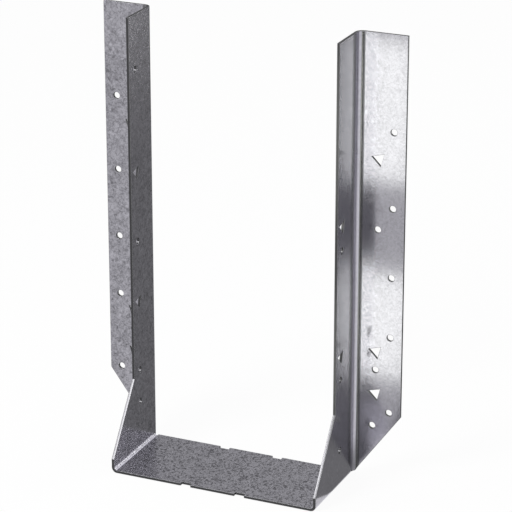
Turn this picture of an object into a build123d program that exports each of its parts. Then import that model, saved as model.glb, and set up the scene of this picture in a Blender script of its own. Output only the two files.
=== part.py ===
from build123d import *
import os
from math import sqrt

# Joist hanger folded from one galvanised steel sheet.
# A U-shaped stirrup carries the end of a timber joist: a flat seat, a wall up each side,
# and a flange folded outward from the back of each wall to nail against the header.
# X runs across the joist, +Y towards the header, +Z up. The origin is the middle of the
# joist's lower end edge: Z = 0 is the bearing face of the seat and Y = 0 the header's face.

# The sheet
sheet_thickness = 1.9
seat_bend_radius = 1.8
flange_fold_radius = 3.2

# The pocket for the joist
joist_pocket_width = 139.7
hanger_height = 295.3
seat_reach = 65.3
seat_setback = 3.5

# The walls, seen from the side
upper_wall_depth = 33.6
upper_knee_height = 51.7
lower_knee_height = 7.3

# The flanges, seen from the front
flange_width = 31.75
flange_corner_height = 42.5
flange_foot_offset = 0.9

# The relief notches in the front and back edges of the seat
seat_notch_width = 6.8
seat_notch_depth = 2.5
seat_notch_spacing = 37.7

# The nail holes: round ones, and three-cornered ones for the optional nails
nail_hole_diameter = 4.4
triangle_side = 8.5
triangle_turn = 45
hole_edge_clearance = 3.0

# Distances of the columns of holes from the edges of the sheet
outer_column_inset = 8.1
inner_column_inset = 17.8
lowest_inner_hole_inset = 19.4
wall_column_inset = 7.8

# Heights of the holes above the bearing face of the seat
outer_column_rounds = (44.5, 96.5, 137.0, 183.0, 233.0)
inner_column_rounds = (73.0, 168.0)
lowest_inner_round = 34.0
inner_column_triangles = (56.5, 85.5, 214.5)
left_wall_rounds = (33.0, 55.5, 145.0, 260.0)
left_wall_triangles = (103.5, 192.0)
right_wall_rounds = (24.0, 73.0, 160.0)
right_wall_triangles = (88.5, 176.0)

# Sizes that follow from the ones above
half_pocket = joist_pocket_width / 2
wall_outer_face = half_pocket + sheet_thickness
flange_edge = wall_outer_face + flange_width
fold_reach = flange_fold_radius + sheet_thickness
fold_centre = wall_outer_face + flange_fold_radius
seat_back_edge = min(seat_setback, fold_reach)
seat_flat_width = joist_pocket_width - 2 * seat_bend_radius
triangle_radius = triangle_side / sqrt(3)
wall_column = wall_column_inset - upper_wall_depth


def heights_on_sheet(heights, reach):
    """The heights of the holes that lie wholly below the top edge, given how far each reaches."""
    return [height for height in heights if height + reach + hole_edge_clearance < hanger_height]


def nail_holes(plane, rounds, triangles):
    """A sketch of nail holes at the given places on a plane."""
    with BuildSketch(plane) as layout:
        with Locations(*rounds):
            Circle(nail_hole_diameter / 2)
        with Locations(*triangles):
            RegularPolygon(triangle_radius, 3, rotation=triangle_turn)
    return layout.sketch


def wall_holes(plane, round_heights, triangle_heights):
    """The holes of one wall, in one column that keeps its distance from the front edge."""
    rounds = [(wall_column, height) for height in heights_on_sheet(round_heights, nail_hole_diameter / 2)]
    triangles = [(wall_column, height) for height in heights_on_sheet(triangle_heights, triangle_radius)]
    return nail_holes(plane, rounds, triangles)


def flange_holes():
    """The holes of the right flange, in two staggered columns."""
    outer_column = flange_edge - outer_column_inset
    inner_column = flange_edge - inner_column_inset
    outer_heights = heights_on_sheet(outer_column_rounds, nail_hole_diameter / 2)
    inner_heights = heights_on_sheet(inner_column_rounds, nail_hole_diameter / 2)
    triangle_heights = heights_on_sheet(inner_column_triangles, triangle_radius)
    rounds = [(outer_column, height) for height in outer_heights]
    rounds += [(inner_column, height) for height in inner_heights]
    rounds.append((flange_edge - lowest_inner_hole_inset, lowest_inner_round))
    triangles = [(inner_column, height) for height in triangle_heights]
    return nail_holes(Plane.XZ, rounds, triangles)


# The right flange and the fold that joins it to its wall
with BuildPart() as right_flange:
    with BuildSketch(Plane.XY):
        with BuildLine():
            inner_bend = CenterArc((fold_centre, -fold_reach), flange_fold_radius, 180, -90)
            outer_bend = CenterArc((fold_centre, -fold_reach), fold_reach, 180, -90)
            Polyline(inner_bend @ 1, (flange_edge, -sheet_thickness), (flange_edge, 0), outer_bend @ 1)
            Line(inner_bend @ 0, outer_bend @ 0)
        make_face()
    extrude(amount=hanger_height)

    # The lower edge slants from the outer corner down to the foot of the wall
    with BuildSketch(Plane.XZ):
        Polygon(
            (wall_outer_face + flange_foot_offset, 0),
            (flange_edge, 0),
            (flange_edge, flange_corner_height),
            align=None,
        )
    extrude(amount=fold_reach, mode=Mode.SUBTRACT)

    extrude(flange_holes(), amount=sheet_thickness, mode=Mode.SUBTRACT)

with BuildPart() as joist_hanger:
    # The stirrup: seat and walls as one bent strip, as deep as the seat
    with BuildSketch(Plane.XZ.offset(fold_reach)):
        with BuildLine():
            inner_line = FilletPolyline(
                (-half_pocket, hanger_height),
                (-half_pocket, 0),
                (half_pocket, 0),
                (half_pocket, hanger_height),
                radius=seat_bend_radius,
            )
            offset(inner_line, amount=sheet_thickness, side=Side.RIGHT)
        make_face()
    extrude(amount=seat_reach - fold_reach)

    # The flat of the seat runs on between the flange folds, to just short of the header
    with BuildSketch(Plane.XY.offset(-sheet_thickness)):
        with Locations((0, -seat_back_edge)):
            Rectangle(seat_flat_width, seat_reach - seat_back_edge, align=(Align.CENTER, Align.MAX))
    extrude(amount=sheet_thickness)

    # The front edges of the walls step back above the seat and slant up to the knees
    with BuildSketch(Plane.YZ):
        Polygon(
            (-seat_reach, lower_knee_height),
            (-upper_wall_depth, upper_knee_height),
            (-upper_wall_depth, hanger_height),
            (-seat_reach, hanger_height),
            align=None,
        )
    extrude(amount=wall_outer_face, both=True, mode=Mode.SUBTRACT)

    # The relief notches in both edges of the seat
    with BuildSketch(Plane.XY.offset(-sheet_thickness)):
        for edge, inward in ((-seat_back_edge, -1), (-seat_reach, 1)):
            with Locations((0, edge + inward * seat_notch_depth / 2)):
                with GridLocations(seat_notch_spacing, 0, 2, 1):
                    Rectangle(seat_notch_width, seat_notch_depth)
    extrude(amount=sheet_thickness, mode=Mode.SUBTRACT)

    extrude(
        wall_holes(Plane.YZ.offset(half_pocket), right_wall_rounds, right_wall_triangles),
        amount=sheet_thickness,
        mode=Mode.SUBTRACT,
    )
    extrude(
        wall_holes(Plane.YZ.offset(-wall_outer_face), left_wall_rounds, left_wall_triangles),
        amount=sheet_thickness,
        mode=Mode.SUBTRACT,
    )

    # The flanges are a mirrored pair
    add(right_flange.part)
    mirror(right_flange.part, about=Plane.YZ)

joist_hanger.part.label = "joist_hanger"

os.makedirs("parts", exist_ok=True)
export_step(joist_hanger.part, "parts/joist_hanger.step")
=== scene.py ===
import math

import bpy
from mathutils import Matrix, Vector


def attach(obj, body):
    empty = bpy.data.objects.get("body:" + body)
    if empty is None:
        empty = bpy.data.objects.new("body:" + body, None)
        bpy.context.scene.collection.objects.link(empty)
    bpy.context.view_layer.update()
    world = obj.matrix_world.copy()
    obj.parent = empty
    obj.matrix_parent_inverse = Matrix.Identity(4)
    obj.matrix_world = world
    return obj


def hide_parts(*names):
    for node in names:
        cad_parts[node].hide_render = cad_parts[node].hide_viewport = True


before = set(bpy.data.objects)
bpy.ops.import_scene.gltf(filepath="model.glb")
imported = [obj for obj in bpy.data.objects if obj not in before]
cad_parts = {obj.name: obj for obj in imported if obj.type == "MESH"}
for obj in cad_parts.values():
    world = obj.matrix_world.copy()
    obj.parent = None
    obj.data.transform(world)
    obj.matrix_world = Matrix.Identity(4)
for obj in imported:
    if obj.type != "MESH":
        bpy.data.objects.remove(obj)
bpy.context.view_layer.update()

MM = 0.001
QUARTER_TURN = math.pi / 2

# The sheet and its folds, as in the CAD source
SHEET_THICKNESS = 1.9 * MM
SEAT_BEND_RADIUS = 1.8 * MM
FLANGE_FOLD_RADIUS = 3.2 * MM
POCKET_WIDTH = 139.7 * MM
HANGER_HEIGHT = 295.3 * MM
SEAT_REACH = 65.3 * MM
SEAT_SETBACK = 3.5 * MM
UPPER_WALL_DEPTH = 33.6 * MM
UPPER_KNEE_HEIGHT = 51.7 * MM
LOWER_KNEE_HEIGHT = 7.3 * MM
FLANGE_WIDTH = 31.75 * MM
FLANGE_CORNER_HEIGHT = 42.5 * MM
FLANGE_FOOT_OFFSET = 0.9 * MM
NOTCH_WIDTH = 6.8 * MM
NOTCH_DEPTH = 2.5 * MM
NOTCH_SPACING = 37.7 * MM

# The nail holes: round ones, and three-cornered ones for the optional nails
ROUND_HOLE_DIAMETER = 4.4 * MM
TRIANGLE_SIDE = 8.5 * MM
TRIANGLE_TURN = math.radians(45)
OUTER_COLUMN_INSET = 8.1 * MM
INNER_COLUMN_INSET = 17.8 * MM
LOWEST_INNER_INSET = 19.4 * MM
WALL_COLUMN_INSET = 7.8 * MM
OUTER_COLUMN_ROUNDS = (44.5, 96.5, 137.0, 183.0, 233.0)
INNER_COLUMN_ROUNDS = (73.0, 168.0)
LOWEST_INNER_ROUND = 34.0
INNER_COLUMN_TRIANGLES = (56.5, 85.5, 214.5)
WALL_ROUNDS = {-1: (33.0, 55.5, 145.0, 260.0), 1: (24.0, 73.0, 160.0)}
WALL_TRIANGLES = {-1: (103.5, 192.0), 1: (88.5, 176.0)}

# How finely the sheet is made: the eased edges, the flat strips in each fold and the sides of a round hole
EDGE_ROUND = 0.25 * MM
EDGE_STEPS = 2
SHARP_ANGLE = math.radians(30)
FOLD_STRIPS = 12
HOLE_SEGMENTS = 40
WELD_DISTANCE = 0.001 * MM

# Sizes that follow from the ones above. The flat blank is laid out across the hanger and along
# its depth: each fold takes up a strip as long as the arc at the middle of the sheet.
SEAT_FLAT = POCKET_WIDTH / 2 - SEAT_BEND_RADIUS
SEAT_ARC = (SEAT_BEND_RADIUS + SHEET_THICKNESS / 2) * QUARTER_TURN
WALL_START = SEAT_FLAT + SEAT_ARC
FOLD_REACH = FLANGE_FOLD_RADIUS + SHEET_THICKNESS
FOLD_ARC = (FLANGE_FOLD_RADIUS + SHEET_THICKNESS / 2) * QUARTER_TURN
FLANGE_START = FOLD_ARC - FOLD_REACH
FLANGE_EDGE = FLANGE_START + FLANGE_WIDTH - FLANGE_FOLD_RADIUS

# What a point of the blank's layout stands for
OUTLINE, ROUND_HOLE, TRIANGLE_HOLE = 0, 1, 2


class Nodes:
    """Adds nodes to one tree, and sets or links their inputs."""

    def __init__(self, tree):
        self.tree = tree

    def put(self, socket, value):
        """Links a socket to another one, or sets it to a plain value."""
        if isinstance(value, bpy.types.NodeSocket):
            self.tree.links.new(value, socket)
        else:
            socket.default_value = value

    def add(self, kind, inputs=None, **settings):
        """A new node. Its settings come first, since they decide which inputs it has."""
        node = self.tree.nodes.new(kind)
        for name, value in settings.items():
            setattr(node, name, value)
        for key, value in (inputs or {}).items():
            self.put(node.inputs[key], value)
        return node

    def math(self, operation, *values):
        node = self.add("ShaderNodeMath", operation=operation)
        for place, value in enumerate(values):
            self.put(node.inputs[place], value)
        return node.outputs[0]

    def between(self, value, low, high):
        """The value, held between two limits."""
        return self.math("MINIMUM", self.math("MAXIMUM", value, low), high)

    def parts(self, vector):
        """The X, Y and Z of a vector."""
        return self.add("ShaderNodeSeparateXYZ", {0: vector}).outputs

    def join(self, *pieces):
        """Several geometries as one, in the order given."""
        joined = self.add("GeometryNodeJoinGeometry")
        for piece in pieces:
            self.tree.links.new(piece, joined.inputs[0])
        return joined.outputs[0]

    def weld(self, geometry):
        """The geometry with its coinciding points made one."""
        inputs = {"Geometry": geometry, "Distance": WELD_DISTANCE}
        return self.add("GeometryNodeMergeByDistance", inputs).outputs[0]

    def stored_value(self, name, kind):
        """In a geometry tree, a value that the layout's points carry."""
        node = self.add("GeometryNodeInputNamedAttribute", {"Name": name}, data_type=kind)
        return node.outputs["Attribute"]

    def store(self, geometry, name, value, domain):
        """Keeps a value on the geometry, for the finish to read."""
        inputs = {"Geometry": geometry, "Name": name, "Value": value}
        node = self.add("GeometryNodeStoreNamedAttribute", inputs, data_type="FLOAT", domain=domain)
        return node.outputs[0]

    def attribute(self, name):
        """In a material, a value that was kept on the geometry."""
        return self.add("ShaderNodeAttribute", attribute_name=name).outputs["Fac"]

    def slope(self, value, start, end):
        """0 on the near side of the start, 1 on the far side of the end, and a straight slope between."""
        return self.add("ShaderNodeMapRange", {"Value": value, "From Min": start, "From Max": end}).outputs[0]

    def mix(self, share, first, second):
        """One colour, and a share of a second one in its place."""
        return self.add("ShaderNodeMix", {"Factor": share, 6: first, 7: second}, data_type="RGBA").outputs[2]


def in_scene(name, data):
    """A new object in the scene, at the origin."""
    thing = bpy.data.objects.new(name, data)
    bpy.context.scene.collection.objects.link(thing)
    return thing


# ---------------------------------------------------------------- the flat blank

def height_on_blank(height):
    """How far across the blank a point of a wall or flange lies, given its height on the hanger."""
    return WALL_START + height - SEAT_BEND_RADIUS


def slanted_cut(depth):
    """The height of the flange's lower edge, at a place along the fold's strip or at its end."""
    angle = (depth + FOLD_REACH) / FOLD_ARC * QUARTER_TURN
    out = FLANGE_FOLD_RADIUS - (FOLD_REACH - SHEET_THICKNESS / 2) * math.cos(angle) - FLANGE_FOOT_OFFSET
    return max(0.0, out * FLANGE_CORNER_HEIGHT / (FLANGE_WIDTH - FLANGE_FOOT_OFFSET))


def panel_outlines():
    """The outlines of the blank's flat panels and of the narrow strips that its folds are made of."""
    front, back, seat_back = -SEAT_REACH, -FOLD_REACH, -SEAT_SETBACK
    notches = []
    for middle in (-NOTCH_SPACING / 2, NOTCH_SPACING / 2):
        notches.append((middle - NOTCH_WIDTH / 2, middle + NOTCH_WIDTH / 2))
    seat = [(-SEAT_FLAT, front)]
    for left, right in notches:
        seat += [(left, front), (left, front + NOTCH_DEPTH), (right, front + NOTCH_DEPTH), (right, front)]
    seat += [(SEAT_FLAT, front), (SEAT_FLAT, back), (SEAT_FLAT, seat_back)]
    for left, right in reversed(notches):
        notch_end = seat_back - NOTCH_DEPTH
        seat += [(right, seat_back), (right, notch_end), (left, notch_end), (left, seat_back)]
    seat += [(-SEAT_FLAT, seat_back), (-SEAT_FLAT, back)]

    top = height_on_blank(HANGER_HEIGHT)
    side_panels = [[
        (WALL_START, front),
        (height_on_blank(LOWER_KNEE_HEIGHT), front),
        (height_on_blank(UPPER_KNEE_HEIGHT), -UPPER_WALL_DEPTH),
        (top, -UPPER_WALL_DEPTH),
        (top, back),
        (WALL_START, back),
    ]]
    for strip in range(FOLD_STRIPS):
        near = SEAT_FLAT + strip * SEAT_ARC / FOLD_STRIPS
        far = near + SEAT_ARC / FOLD_STRIPS
        side_panels.append([(near, front), (far, front), (far, back), (near, back)])
    for strip in range(FOLD_STRIPS):
        near = back + strip * FOLD_ARC / FOLD_STRIPS
        far = near + FOLD_ARC / FOLD_STRIPS
        near_edge = [(height_on_blank(slanted_cut(near)), near), (top, near)]
        far_edge = [(top, far), (height_on_blank(slanted_cut(far)), far)]
        if strip == 0:
            near_edge[0] = (WALL_START, near)
            far_edge[1] = (WALL_START, far)
        if strip == 1:
            near_edge.insert(1, (WALL_START, near))
        side_panels.append(near_edge + far_edge)
    side_panels.append([
        (height_on_blank(slanted_cut(FLANGE_START)), FLANGE_START),
        (top, FLANGE_START),
        (top, FLANGE_EDGE),
        (height_on_blank(FLANGE_CORNER_HEIGHT), FLANGE_EDGE),
    ])
    mirrored = [[(-across, depth) for across, depth in panel] for panel in side_panels]
    return [seat], side_panels, mirrored


def hole_places(side):
    """The nail holes of one side as (height, depth along the blank, kind of hole, is on the flange)."""
    outer = FLANGE_EDGE - OUTER_COLUMN_INSET
    inner = FLANGE_EDGE - INNER_COLUMN_INSET
    wall = WALL_COLUMN_INSET - UPPER_WALL_DEPTH
    columns = [
        (OUTER_COLUMN_ROUNDS, outer, ROUND_HOLE, True),
        (INNER_COLUMN_ROUNDS, inner, ROUND_HOLE, True),
        ((LOWEST_INNER_ROUND,), FLANGE_EDGE - LOWEST_INNER_INSET, ROUND_HOLE, True),
        (INNER_COLUMN_TRIANGLES, inner, TRIANGLE_HOLE, True),
        (WALL_ROUNDS[side], wall, ROUND_HOLE, False),
        (WALL_TRIANGLES[side], wall, TRIANGLE_HOLE, False),
    ]
    places = []
    for heights, depth, kind, on_flange in columns:
        places += [(height * MM, depth, kind, on_flange) for height in heights]
    return places


def blank_layout():
    """A mesh of the blank's layout: each panel a closed outline, each nail hole a single point."""
    points, edges, panel_of = [], [], []
    centre, right_side, left_side = panel_outlines()
    flange_panel, wall_panel = {}, {}
    number = 0
    for side, panels in ((0, centre), (1, right_side), (-1, left_side)):
        wall_panel[side] = number
        for outline in panels:
            start = len(points)
            points += outline
            edges += [(start + i, start + (i + 1) % len(outline)) for i in range(len(outline))]
            panel_of += [number] * len(outline)
            number += 1
        flange_panel[side] = number - 1
    hole_kind = [OUTLINE] * len(points)
    hole_turn = [0.0] * len(points)
    for side in (1, -1):
        for height, depth, kind, on_flange in hole_places(side):
            points.append((side * height_on_blank(height), depth))
            panel_of.append(flange_panel[side] if on_flange else wall_panel[side])
            hole_kind.append(kind)
            hole_turn.append(math.atan2(math.cos(TRIANGLE_TURN), side * math.sin(TRIANGLE_TURN)))
    mesh = bpy.data.meshes.new("blank_layout")
    mesh.from_pydata([(across, depth, 0) for across, depth in points], edges, [])
    for name, kind, values in (
        ("panel", "INT", panel_of),
        ("hole", "INT", hole_kind),
        ("turn", "FLOAT", hole_turn),
    ):
        mesh.attributes.new(name, kind, "POINT").data.foreach_set("value", values)
    return in_scene("blank_layout", mesh)


def geometry_tree(name, sizes):
    """Makes a geometry node tree with named inputs. Gives the tree, its node helper and its input sockets."""
    tree = bpy.data.node_groups.new(name, "GeometryNodeTree")
    tree.interface.new_socket(name="Geometry", in_out="OUTPUT", socket_type="NodeSocketGeometry")
    tree.interface.new_socket(name="Geometry", in_out="INPUT", socket_type="NodeSocketGeometry")
    for size, kind in sizes:
        tree.interface.new_socket(name=size, in_out="INPUT", socket_type=kind)
    nodes = Nodes(tree)
    return tree, nodes, nodes.add("NodeGroupInput").outputs


def punching_tree():
    """Punches the nail holes in the blank's panels and gives the sheet its thickness."""
    tree, nodes, given = geometry_tree("punched blank", [
        ("Sheet thickness", "NodeSocketFloat"),
        ("Round hole diameter", "NodeSocketFloat"),
        ("Three-cornered hole side", "NodeSocketFloat"),
        ("Segments round a hole", "NodeSocketInt"),
    ])
    panel = nodes.stored_value("panel", "INT")
    hole = nodes.stored_value("hole", "INT")
    turn = nodes.stored_value("turn", "FLOAT")

    def points_of(kind):
        chosen = nodes.add("FunctionNodeCompare", {2: hole, 3: kind}, data_type="INT", operation="EQUAL")
        inputs = {"Geometry": given["Geometry"], "Selection": chosen.outputs["Result"]}
        return nodes.add("GeometryNodeSeparateGeometry", inputs, domain="POINT").outputs["Selection"]

    radius = nodes.math("MULTIPLY", given["Round hole diameter"], 0.5)
    circle = nodes.add("GeometryNodeCurvePrimitiveCircle", {
        "Resolution": given["Segments round a hole"],
        "Radius": radius,
    })
    corner_radius = nodes.math("DIVIDE", given["Three-cornered hole side"], math.sqrt(3))
    triangle = nodes.add("GeometryNodeCurvePrimitiveCircle", {"Resolution": 3, "Radius": corner_radius})
    facing = nodes.add("ShaderNodeCombineXYZ", {"Z": turn})
    hole_outlines = []
    for kind, shape in ((ROUND_HOLE, circle), (TRIANGLE_HOLE, triangle)):
        placed = nodes.add("GeometryNodeInstanceOnPoints", {
            "Points": points_of(kind),
            "Instance": shape.outputs["Curve"],
            "Rotation": facing.outputs[0],
        })
        real = nodes.add("GeometryNodeRealizeInstances", {"Geometry": placed.outputs[0]})
        hole_outlines.append(real.outputs[0])
    outlines = nodes.add("GeometryNodeMeshToCurve", {"Mesh": points_of(OUTLINE)})
    curves = nodes.join(outlines.outputs["Curve"], *hole_outlines)
    filled = nodes.add("GeometryNodeFillCurve", {"Curve": curves, "Group ID": panel}, mode="NGONS")
    upper = nodes.weld(filled.outputs[0])
    inward = nodes.add("ShaderNodeCombineXYZ", {"Z": -1})
    thickened = nodes.add("GeometryNodeExtrudeMesh", {
        "Mesh": upper,
        "Offset": inward.outputs[0],
        "Offset Scale": given["Sheet thickness"],
        "Individual": False,
    }, mode="FACES")
    lower = nodes.add("GeometryNodeFlipFaces", {"Mesh": thickened.outputs["Mesh"]})
    closed = nodes.weld(nodes.join(upper, lower.outputs[0]))
    nodes.add("NodeGroupOutput", {"Geometry": closed})
    return tree


def folding_tree():
    """Folds the punched blank: the walls up from the seat, then the flanges outward from the walls."""
    tree, nodes, given = geometry_tree("folded sheet", [
        ("Sheet thickness", "NodeSocketFloat"),
        ("Seat bend radius", "NodeSocketFloat"),
        ("Flange fold radius", "NodeSocketFloat"),
        ("Seat flat half width", "NodeSocketFloat"),
        ("Finish", "NodeSocketMaterial"),
    ])
    thickness = given["Sheet thickness"]
    seat_radius = given["Seat bend radius"]
    fold_radius = given["Flange fold radius"]
    flat = given["Seat flat half width"]
    calc = nodes.math
    place = nodes.parts(nodes.add("GeometryNodeInputPosition").outputs[0])
    side = calc("SIGN", place["X"])
    across = calc("ABSOLUTE", place["X"])
    into_sheet = calc("MULTIPLY", place["Z"], -1)

    # Seat, bend and wall, seen from the front
    seat_middle = calc("MULTIPLY_ADD", thickness, 0.5, seat_radius)
    past_seat = calc("SUBTRACT", across, flat)
    wall_angle = nodes.between(calc("DIVIDE", past_seat, seat_middle), 0, QUARTER_TURN)
    wall_radius = calc("ADD", seat_radius, into_sheet)
    rise = calc("SUBTRACT", past_seat, calc("MULTIPLY", seat_middle, QUARTER_TURN))
    wall_x = calc("MULTIPLY_ADD", wall_radius, calc("SINE", wall_angle), calc("MINIMUM", across, flat))
    wall_z = calc("SUBTRACT", seat_radius, calc("MULTIPLY", wall_radius, calc("COSINE", wall_angle)))
    wall_z = calc("ADD", wall_z, calc("MAXIMUM", rise, 0))

    # Wall, fold and flange, seen from above
    fold_reach = calc("ADD", fold_radius, thickness)
    fold_middle = calc("MULTIPLY_ADD", thickness, 0.5, fold_radius)
    past_wall = calc("ADD", place["Y"], fold_reach)
    past_fold = calc("SUBTRACT", past_wall, calc("MULTIPLY", fold_middle, QUARTER_TURN))
    flange_angle = nodes.between(calc("DIVIDE", past_wall, fold_middle), 0, QUARTER_TURN)
    flange_radius = calc("SUBTRACT", fold_reach, into_sheet)
    fold_centre = calc("ADD", calc("ADD", flat, seat_radius), fold_reach)
    flange_x = calc("SUBTRACT", fold_centre, calc("MULTIPLY", flange_radius, calc("COSINE", flange_angle)))
    flange_x = calc("ADD", flange_x, calc("MAXIMUM", past_fold, 0))
    flange_y = calc("SUBTRACT", calc("MULTIPLY", flange_radius, calc("SINE", flange_angle)), fold_reach)
    flange_z = calc("ADD", seat_radius, rise)

    # The seat runs on between the folds, so only the wall's side of its bend belongs to a flange
    near_wall = calc("GREATER_THAN", rise, calc("MULTIPLY", seat_radius, -1.5))
    on_flange = calc("MULTIPLY", calc("GREATER_THAN", past_wall, 2 * WELD_DISTANCE), near_wall)

    def chosen(flange_value, wall_value):
        return calc("MULTIPLY_ADD", on_flange, calc("SUBTRACT", flange_value, wall_value), wall_value)

    folded = nodes.add("ShaderNodeCombineXYZ", {
        "X": calc("MULTIPLY", side, chosen(flange_x, wall_x)),
        "Y": chosen(flange_y, place["Y"]),
        "Z": chosen(flange_z, wall_z),
    })

    # What the finish needs to know: how far a face was cut, how deep in the sheet a point lies, how near it
    # is to the middle of a seat bend, and how many millimetres it lies past the end of the flange's fold
    normal = nodes.parts(nodes.add("GeometryNodeInputNormal").outputs[0])
    cut = calc("SUBTRACT", 1, calc("ABSOLUTE", normal["Z"]))
    bent = calc("DIVIDE", wall_angle, QUARTER_TURN)
    peak = 0.25
    bent = calc("DIVIDE", calc("MULTIPLY", bent, calc("SUBTRACT", 1, bent)), peak)
    marked = nodes.store(given["Geometry"], "cut", cut, "FACE")
    marked = nodes.store(marked, "depth", calc("DIVIDE", into_sheet, thickness), "POINT")
    marked = nodes.store(marked, "bend", bent, "POINT")
    marked = nodes.store(marked, "past_fold", calc("DIVIDE", past_fold, MM), "POINT")
    moved = nodes.add("GeometryNodeSetPosition", {"Geometry": marked, "Position": folded.outputs[0]})
    smooth = nodes.add("GeometryNodeSetShadeSmooth", {"Geometry": moved.outputs[0], "Shade Smooth": True})
    real = nodes.add("GeometryNodeRealizeInstances", {"Geometry": smooth.outputs[0]})
    done = nodes.add("GeometryNodeSetMaterial", {"Geometry": real.outputs[0], "Material": given["Finish"]})
    nodes.add("NodeGroupOutput", {"Geometry": done.outputs[0]})
    return tree


def use_tree(piece, tree, values):
    """Puts a geometry node tree on a piece and sets its named inputs."""
    modifier = piece.modifiers.new(tree.name, "NODES")
    modifier.node_group = tree
    for socket in tree.interface.items_tree:
        if socket.in_out == "INPUT" and socket.name in values:
            modifier[socket.identifier] = values[socket.name]


def make_folded_sheet(finish):
    """The hanger's sheet: punched flat, its cut edges eased, then folded."""
    layout = blank_layout()
    use_tree(layout, punching_tree(), {
        "Sheet thickness": SHEET_THICKNESS,
        "Round hole diameter": ROUND_HOLE_DIAMETER,
        "Three-cornered hole side": TRIANGLE_SIDE,
        "Segments round a hole": HOLE_SEGMENTS,
    })
    eased = layout.modifiers.new("eased edges", "BEVEL")
    eased.width = EDGE_ROUND
    eased.segments = EDGE_STEPS
    eased.limit_method = "ANGLE"
    eased.angle_limit = SHARP_ANGLE
    eased.use_clamp_overlap = False
    use_tree(layout, folding_tree(), {
        "Sheet thickness": SHEET_THICKNESS,
        "Seat bend radius": SEAT_BEND_RADIUS,
        "Flange fold radius": FLANGE_FOLD_RADIUS,
        "Seat flat half width": SEAT_FLAT,
        "Finish": finish,
    })
    shading = layout.modifiers.new("flat faces stay flat", "WEIGHTED_NORMAL")
    shading.mode = "FACE_AREA"
    shading.weight = 50
    graph = bpy.context.evaluated_depsgraph_get()
    mesh = bpy.data.meshes.new_from_object(
        layout.evaluated_get(graph), preserve_all_data_layers=True, depsgraph=graph
    )
    mesh.name = "folded_sheet"
    bpy.data.objects.remove(layout)
    return in_scene("folded_sheet", mesh)


# ---------------------------------------------------------------- the finish

# Colours of the metal
ZINC_DARK = (0.225, 0.22, 0.245, 1)
ZINC_PALE = (0.785, 0.77, 0.85, 1)
# The dull colour of the eased edges, which also paints the shade along the flange folds
ZINC_DULL_AND_FOLD_SHADE = (0.24, 0.238, 0.252, 1)
# Bare steel on the cut faces, far darker than bare steel: painted shade in the nail holes and along the cut
# edges
SHEARED_STEEL_AND_SHADE = (0.105, 0.104, 0.109, 1)
TORN_STEEL_AND_SHADE = (0.09, 0.089, 0.094, 1)

# The patterns in the zinc, each a noise as (scale, detail, roughness, distortion)
GRAIN = (700, 3, 0.6, 0.0)
BLOTCHES = (260, 3, 0.55, 1.2)
CLOUDS = (24, 3, 0.5, 0.0)
MARKS = (330, 1.5, 0.45, 0.9)
NOISE_MIDDLE = 0.5

# A mark is dark where its noise is this near the middle, and gone where it is this far from it
MARK_CORE = 0.018
MARK_EDGE = 0.06

# The patterns are calmer on the right wall and flange, and the marks are heavier on the seat
CALM_START, CALM_END = 50 * MM, 70 * MM
CALMING = -0.68
SEAT_END, SEAT_START = 2 * MM, 0.2 * MM
SEAT_MARKS = 2.6

# How pale the zinc is, from 0 for the dark colour up: the mean, and how far each thing sways it
MEAN_PALENESS = 0.56
PALEST = 0.88
GRAIN_SWAY = 0.9
BLOTCH_SWAY = 1.0
CLOUD_SWAY = 0.35
MARK_SWAY = -0.26
SEAT_SWAY = 0.2
# Partly stretched zinc and partly a painted highlight: the seat bends are made paler for their bright band
STRETCH_AND_HIGHLIGHT_SWAY = 0.12

# How rough the zinc is, and what each thing adds to it
ZINC_ROUGHNESS = 0.16
DARK_ROUGHER = 0.1
FOLD_SHADE_ROUGHER = 0.1
STRETCH_ROUGHER = 0.2
SEAT_ROUGHER = 0.12
EASED_ROUGHER = 0.3

# How rough a cut face is, and what tearing adds to it
SHEARED_ROUGHNESS = 0.27
TORN_ROUGHER = 0.04

# The relief of the zinc: its height, its strength, what smearing takes from that on eased edges and on
# bends, and what the grain and the marks add to the blotches
RELIEF_HEIGHT = 0.03 * MM
RELIEF_STRENGTH = 0.6
SMEARING = -0.55
GRAIN_RELIEF = 0.4
MARK_RELIEF = -0.35

# The cut value is 0 on the sheet's flat faces, 1 on the cut ones and between them on the eased edges. The
# bend value is 1 in the middle of a seat bend. Times these gains, they say how far a place is eased or
# stretched. From the limit on, a face is bare steel in a colour dark enough to be painted shade.
EASED_GAIN = 12
STRETCH_GAIN = 2.5
CUT_LIMIT = 0.7

# Where a cut face passes from sheared to torn, as a share of the sheet's thickness, and how ragged that is
TORN_START, TORN_END = 0.42, 0.52
TORN_RAGGED = 0.3

# The painted shade line in the crease of each flange fold, where the fold is in shade,
# in millimetres past the end of the fold
FOLD_SHADE_START = (-2.4, -1.9)
FOLD_SHADE_END = (0.9, 0.4)


def new_material(name):
    """An empty material and the helper for its nodes."""
    material = bpy.data.materials.new(name)
    material.use_nodes = True
    material.node_tree.nodes.clear()
    return material, Nodes(material.node_tree)


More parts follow.
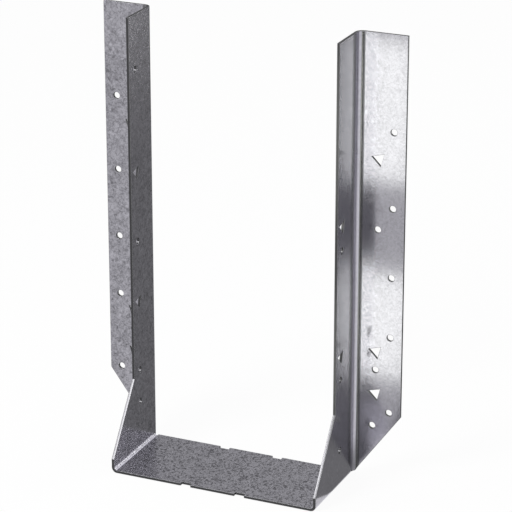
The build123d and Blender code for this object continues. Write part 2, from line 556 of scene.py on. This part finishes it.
def galvanised_finish():
    """Hot-dip galvanised sheet: a mottled zinc skin, and bare sheared steel on the cut edges, darkened with
    painted shade. Painted shade also runs along the flange folds, and the seat bends are paler, partly as
    stretched zinc and partly as a painted highlight.
    """
    material, nodes = new_material("galvanised_steel")
    place = nodes.add("ShaderNodeTexCoord").outputs["Object"]
    parts = nodes.parts(place)
    calc = nodes.math

    def noise(scale, detail, roughness, distortion):
        return nodes.add("ShaderNodeTexNoise", {
            "Vector": place,
            "Scale": scale,
            "Detail": detail,
            "Roughness": roughness,
            "Distortion": distortion,
        }).outputs[0]

    def swayed(pattern, sway, start):
        return calc("MULTIPLY_ADD", calc("SUBTRACT", pattern, NOISE_MIDDLE), sway, start)

    # Where the sheet is cut, eased or stretched, where the painted shade line runs by each flange fold,
    # and where its patterns are heavy or calm
    cut = nodes.attribute("cut")
    depth = nodes.attribute("depth")
    past_fold = nodes.attribute("past_fold")
    is_cut = calc("GREATER_THAN", cut, CUT_LIMIT)
    eased = nodes.between(calc("MULTIPLY", cut, EASED_GAIN), 0, 1)
    stretched = nodes.between(calc("MULTIPLY", nodes.attribute("bend"), STRETCH_GAIN), 0, 1)
    smeared = calc("MAXIMUM", eased, stretched)
    # Painted shade: a dark band in the crease of each flange fold
    fold_shade_band = calc("MULTIPLY", nodes.slope(past_fold, *FOLD_SHADE_START), nodes.slope(past_fold, *FOLD_SHADE_END))
    fold_shade_line = calc("MULTIPLY", fold_shade_band, calc("GREATER_THAN", depth, 0.5))
    on_seat = nodes.slope(parts["Z"], SEAT_END, SEAT_START)
    calm = nodes.slope(parts["X"], CALM_START, CALM_END)
    strength = calc("MULTIPLY_ADD", calm, CALMING, 1.0)

    # Fine dark crooked marks in the zinc, along the level lines of a noise
    marks = nodes.add("ShaderNodeMapRange", {
        "Value": calc("ABSOLUTE", calc("SUBTRACT", noise(*MARKS), NOISE_MIDDLE)),
        "From Min": MARK_CORE,
        "From Max": MARK_EDGE,
        "To Min": 1.0,
        "To Max": 0.0,
    }, interpolation_type="SMOOTHSTEP").outputs[0]
    marks = calc("MULTIPLY", marks, calc("MULTIPLY_ADD", on_seat, SEAT_MARKS, strength))
    marks = calc("MULTIPLY", marks, calc("SUBTRACT", 1, smeared))

    # The zinc's colour, dulled on the eased edges, and darkened as painted shade on the lines along the
    # flange folds
    grain = noise(*GRAIN)
    blotches = noise(*BLOTCHES)
    mottle = calc("MULTIPLY", calc("SUBTRACT", grain, NOISE_MIDDLE), GRAIN_SWAY)
    mottle = swayed(blotches, BLOTCH_SWAY, mottle)
    mottle = swayed(noise(*CLOUDS), CLOUD_SWAY, mottle)
    paleness = calc("MULTIPLY_ADD", mottle, strength, MEAN_PALENESS)
    paleness = calc("MULTIPLY_ADD", marks, MARK_SWAY, paleness)
    paleness = calc("MULTIPLY_ADD", on_seat, SEAT_SWAY, paleness)
    # The seat bends paler: partly stretched zinc, partly a painted highlight
    paleness = calc("MULTIPLY_ADD", stretched, STRETCH_AND_HIGHLIGHT_SWAY, paleness)
    zinc = nodes.add("ShaderNodeValToRGB", {"Fac": paleness})
    darkest, palest = zinc.color_ramp.elements
    darkest.position = 0.0
    darkest.color = ZINC_DARK
    palest.position = PALEST
    palest.color = ZINC_PALE
    skin = nodes.mix(calc("MAXIMUM", fold_shade_line, eased), zinc.outputs["Color"], ZINC_DULL_AND_FOLD_SHADE)

    # The cut faces, darkened as painted shade: sheared smooth in the first part of the thickness,
    # torn in the rest
    torn = nodes.slope(swayed(grain, TORN_RAGGED, depth), TORN_START, TORN_END)
    steel = nodes.mix(torn, SHEARED_STEEL_AND_SHADE, TORN_STEEL_AND_SHADE)

    roughness = calc("MULTIPLY_ADD", calc("SUBTRACT", 0.5, paleness), DARK_ROUGHER, ZINC_ROUGHNESS)
    roughness = calc("MULTIPLY_ADD", fold_shade_line, FOLD_SHADE_ROUGHER, roughness)
    roughness = calc("MULTIPLY_ADD", stretched, STRETCH_ROUGHER, roughness)
    roughness = calc("MULTIPLY_ADD", on_seat, SEAT_ROUGHER, roughness)
    roughness = calc("MULTIPLY_ADD", eased, EASED_ROUGHER, roughness)
    cut_roughness = calc("MULTIPLY_ADD", torn, TORN_ROUGHER, SHEARED_ROUGHNESS)
    roughness = calc("MULTIPLY_ADD", is_cut, calc("SUBTRACT", cut_roughness, roughness), roughness)

    relief = calc("MULTIPLY_ADD", marks, MARK_RELIEF, blotches)
    relief = calc("MULTIPLY_ADD", grain, GRAIN_RELIEF, relief)
    bump = nodes.add("ShaderNodeBump", {
        "Height": relief,
        "Strength": calc("MULTIPLY_ADD", smeared, SMEARING, RELIEF_STRENGTH),
        "Distance": RELIEF_HEIGHT,
    })
    metal = nodes.add("ShaderNodeBsdfPrincipled", {
        "Base Color": nodes.mix(is_cut, skin, steel),
        "Metallic": 1.0,
        "Roughness": roughness,
        "Normal": bump.outputs[0],
    })
    nodes.add("ShaderNodeOutputMaterial", {"Surface": metal.outputs[0]})
    return material


# ---------------------------------------------------------------- the studio

# The photo's metal mirrors grey and bright cards, so such cards stand here. Their places and sizes are
# in millimetres, and a brightness of 1 is white.
WHITE = (1.0, 1.0, 1.0)

# The zinc is a little blue, and these lights undo part of it. The right flange mirrors the left strips
# itself and the right ones by way of the wall, so the right ones are the warmer.
BEND_LIGHT = (0.995, 1.0, 0.955)
ONE_BOUNCE = (0.978, 1.0, 0.93)
TWO_BOUNCES = (0.965, 1.0, 0.87)

# The grey table round the hanger as (name, start, end, brightness), and the screens that stand round it
# as (name, start, end, low, high, brightness, colour). Bearings are in degrees, and run from straight in
# front of the hanger to its right. The bright screen is what the left seat bend mirrors. The table lies
# just over the floor, and its round rim has a corner at about every 15 degrees.
STUDIO_CENTRE = 80
STUDIO_REACH = 900
TABLE_LEVEL = -1.8
RIM_STEP = 15
GREY_TABLE = (
    ("table_front_left", -90, -8, 0.56),
    ("table_front", -8, 10, 0.14),
    ("table_front_right", 10, 34, 0.21),
    ("table_right", 34, 100, 0.80),
    ("table_back", 100, 270, 0.18),
)
SCREENS = (
    ("screen_front_left", -90, -8, 0, 420, 0.56, WHITE),
    ("screen_front", -8, 10, 0, 420, 0.14, WHITE),
    ("screen_front_right", 10, 34, 0, 420, 0.21, WHITE),
    ("screen_right", 34, 100, 0, 420, 0.80, WHITE),
    ("screen_back_right", 100, 146, 0, 420, 0.18, WHITE),
    ("screen_bend", 146, 154, 0, 380, 4.2, BEND_LIGHT),
    ("screen_bend_top", 146, 154, 380, 900, 0.15, WHITE),
    ("screen_back", 154, 163, 0, 900, 0.15, WHITE),
    ("screen_back_middle", 163, 197, 0, 900, 0.20, WHITE),
    ("screen_back_left", 197, 262, 0, 900, 0.30, WHITE),
    ("screen_left", 262, 270, 0, 420, 0.31, WHITE),
)

# The cards that the foot of the right flange mirrors, as (name, height over the table, corners, brightness):
# a dark one under the fold and a light one in front of it
FOOT_CARDS = (
    ("light_foot_card", 0.1, ((92, -115), (110, -115), (73, -36), (55, -36)), 0.75),
    ("foot_card", 0.05, ((72, -62), (112, -62), (112, 25), (72, 25)), 0.2),
)

# The bright strips in front of the hanger, as (name, left, right, low, high, brightness, colour)
STRIP_DEPTH = -150
STRIPS = (
    ("lower_strip_left", -4, 60, 0, 79, 1.58, ONE_BOUNCE),
    ("lower_strip_right", 112, 131.5, -6, 85, 3.6, TWO_BOUNCES),
    ("lower_strip_end", 150, 180, 22, 68, 1.2, TWO_BOUNCES),
    ("upper_strip_left", -4, 60, 146, 248, 1.58, ONE_BOUNCE),
    ("upper_strip_right", 112, 131.5, 144, 256, 3.7, TWO_BOUNCES),
    ("upper_strip_end", 150, 180, 157, 247, 0.8, TWO_BOUNCES),
)

# The softboxes, as (name, place, target, size, power in watts)
LAMPS = (
    ("key", (-530, -970, 935), (0, -50, 60), 500, 9.0),
    ("back", (200, 1000, 1250), (0, -20, 60), 500, 1.8),
)

# The floor, and how much of it glows white where it is background, so that shadows still show
FLOOR_REACH = 6000
FLOOR_COLOUR = (0.9, 0.9, 0.9, 1)
FLOOR_GLOW = 0.93

# The surround lights matt surfaces a little less than white, and is white where it is background
ROOM_LIGHT = 0.7

# The photo's viewpoint, fitted to the outline and the holes in it: place and lens in millimetres, angles
# in degrees
CAMERA_PLACE = (630.26, -1412.11, 721.48)
CAMERA_DIP = 20.7126
CAMERA_TURN = 23.993
CAMERA_LENS = 181.094
CAMERA_SENSOR = 36

FOUR_CORNERS = (0, 1, 2, 3)


def seen_as_background(nodes):
    """1 for what the camera sees directly, in metal or through glass, and 0 for the rest."""
    path = nodes.add("ShaderNodeLightPath").outputs
    either = nodes.math("MAXIMUM", path["Is Camera Ray"], path["Is Glossy Ray"])
    return nodes.math("MAXIMUM", either, path["Is Transmission Ray"])


def flat_piece(name, corners, faces, material):
    """A piece of flat card or floor. Its corners are in millimetres."""
    mesh = bpy.data.meshes.new(name)
    mesh.from_pydata([Vector(corner) * MM for corner in corners], [], faces)
    mesh.materials.append(material)
    return in_scene(name, mesh)


def studio_card(name, corners, faces, brightness, colour):
    """A plain card that only reflections show."""
    material, nodes = new_material(name)
    glow = nodes.add("ShaderNodeEmission", {"Color": (*colour, 1), "Strength": brightness})
    nodes.add("ShaderNodeOutputMaterial", {"Surface": glow.outputs[0]})
    card = flat_piece(name, corners, faces, material)
    card.visible_camera = False
    card.visible_diffuse = False
    card.visible_shadow = False


def rim_places(start, end):
    """Places on the circle round the table, from one bearing to another."""
    steps = max(1, round((end - start) / RIM_STEP))
    bearings = [math.radians(start + (end - start) * step / steps) for step in range(steps + 1)]
    return [
        (STUDIO_CENTRE + STUDIO_REACH * math.sin(bearing), -STUDIO_REACH * math.cos(bearing))
        for bearing in bearings
    ]


def set_grey_table():
    """A grey table with screens round it, which keep the metal from mirroring the white studio all over."""
    for name, start, end, brightness in GREY_TABLE:
        rim = rim_places(start, end)
        corners = [(STUDIO_CENTRE, 0, TABLE_LEVEL)] + [(x, y, TABLE_LEVEL) for x, y in rim]
        faces = [(0, i + 1, i + 2) for i in range(len(rim) - 1)]
        studio_card(name, corners, faces, brightness, WHITE)
    for name, start, end, low, high, brightness, colour in SCREENS:
        rim = rim_places(start, end)
        corners = [(x, y, height + TABLE_LEVEL) for x, y in rim for height in (low, high)]
        faces = [(2 * i, 2 * i + 2, 2 * i + 3, 2 * i + 1) for i in range(len(rim) - 1)]
        studio_card(name, corners, faces, brightness, colour)


def lay_foot_cards():
    """The cards on the table at the foot of the right flange."""
    for name, lift, places, brightness in FOOT_CARDS:
        corners = [(x, y, TABLE_LEVEL + lift) for x, y in places]
        studio_card(name, corners, [FOUR_CORNERS], brightness, WHITE)


def hang_strips():
    """The bright strips, in two rows, which give the right flange its bands."""
    for name, left, right, low, high, brightness, colour in STRIPS:
        corners = [(x, STRIP_DEPTH, z) for x, z in ((left, low), (right, low), (right, high), (left, high))]
        studio_card(name, corners, [FOUR_CORNERS], brightness, colour)


def lay_floor():
    """A plain pale floor under the seat."""
    material, nodes = new_material("pale_floor")
    paper = nodes.add("ShaderNodeBsdfDiffuse", {"Color": FLOOR_COLOUR})
    white = nodes.add("ShaderNodeEmission", {"Color": (*WHITE, 1), "Strength": 1.0})
    share = nodes.math("MULTIPLY", seen_as_background(nodes), FLOOR_GLOW)
    mixed = nodes.add("ShaderNodeMixShader", {0: share, 1: paper.outputs[0], 2: white.outputs[0]})
    nodes.add("ShaderNodeOutputMaterial", {"Surface": mixed.outputs[0]})
    level = -SHEET_THICKNESS / MM
    signs = ((-1, -1), (1, -1), (1, 1), (-1, 1))
    corners = [(x * FLOOR_REACH, y * FLOOR_REACH, level) for x, y in signs]
    floor = flat_piece("floor", corners, [FOUR_CORNERS], material)


def hang_world():
    """A white surround, with an even grey light for matt surfaces."""
    world = bpy.data.worlds.new("studio")
    world.use_nodes = True
    world.node_tree.nodes.clear()
    nodes = Nodes(world.node_tree)
    strength = nodes.math("MULTIPLY_ADD", seen_as_background(nodes), 1 - ROOM_LIGHT, ROOM_LIGHT)
    sky = nodes.add("ShaderNodeBackground", {"Color": (*WHITE, 1), "Strength": strength})
    nodes.add("ShaderNodeOutputWorld", {"Surface": sky.outputs[0]})
    bpy.context.scene.world = world


def hang_lamps():
    """Square softboxes, each turned to face a point."""
    for name, place, target, size, power in LAMPS:
        light = bpy.data.lights.new(name, "AREA")
        light.size = size * MM
        light.energy = power
        lamp = in_scene(name, light)
        lamp.location = Vector(place) * MM
        lamp.rotation_euler = (Vector(target) - Vector(place)).to_track_quat("-Z", "Y").to_euler()
        lamp.visible_camera = False


def set_camera():
    """The photo's viewpoint."""
    lens = bpy.data.cameras.new("camera")
    lens.sensor_width = CAMERA_SENSOR
    lens.lens = CAMERA_LENS
    camera = in_scene("camera", lens)
    camera.location = Vector(CAMERA_PLACE) * MM
    camera.rotation_euler = (QUARTER_TURN - math.radians(CAMERA_DIP), 0, math.radians(CAMERA_TURN))
    bpy.context.scene.camera = camera


set_camera()
sheet = make_folded_sheet(galvanised_finish())
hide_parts("joist_hanger")
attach(sheet, "root")

bpy.context.scene.view_settings.view_transform = "Standard"
lay_floor()
hang_world()
set_grey_table()
lay_foot_cards()
hang_strips()
hang_lamps()
